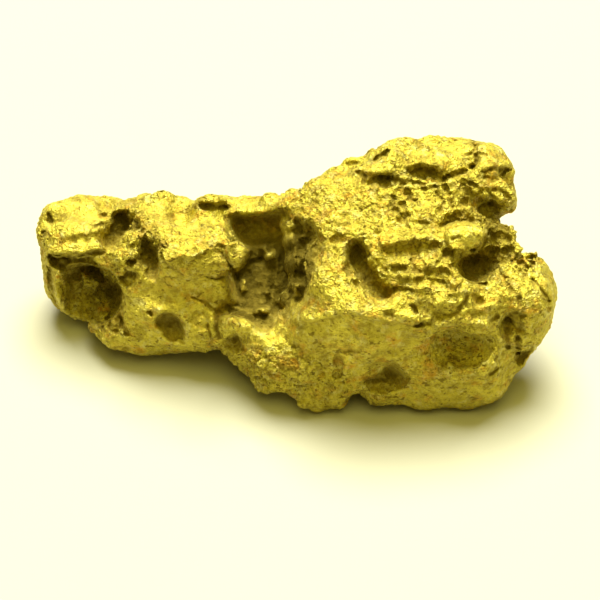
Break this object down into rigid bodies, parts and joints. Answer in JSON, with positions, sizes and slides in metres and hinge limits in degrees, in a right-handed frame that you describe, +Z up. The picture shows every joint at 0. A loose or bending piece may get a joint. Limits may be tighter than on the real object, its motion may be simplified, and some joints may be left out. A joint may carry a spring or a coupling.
{
  "type": "gold nugget",
  "caption": "Water-worn natural gold nugget: a low light end and a tall heavy end joined by a hollow neck, with scoops, pits, ledges and cracks.",
  "frame": {"origin": "bottom centre of the bounding box, on the surface the nugget rests on", "axes": "+X towards the tall heavy end, +Y towards the back, +Z up"},
  "size_m": [0.022, 0.0094, 0.0092],
  "materials": {
    "gold": "native gold, worn satin, with dark grime in the hollows"
  },
  "bodies": {
    "root": {"nugget": "gold"}
  },
  "joints": []
}
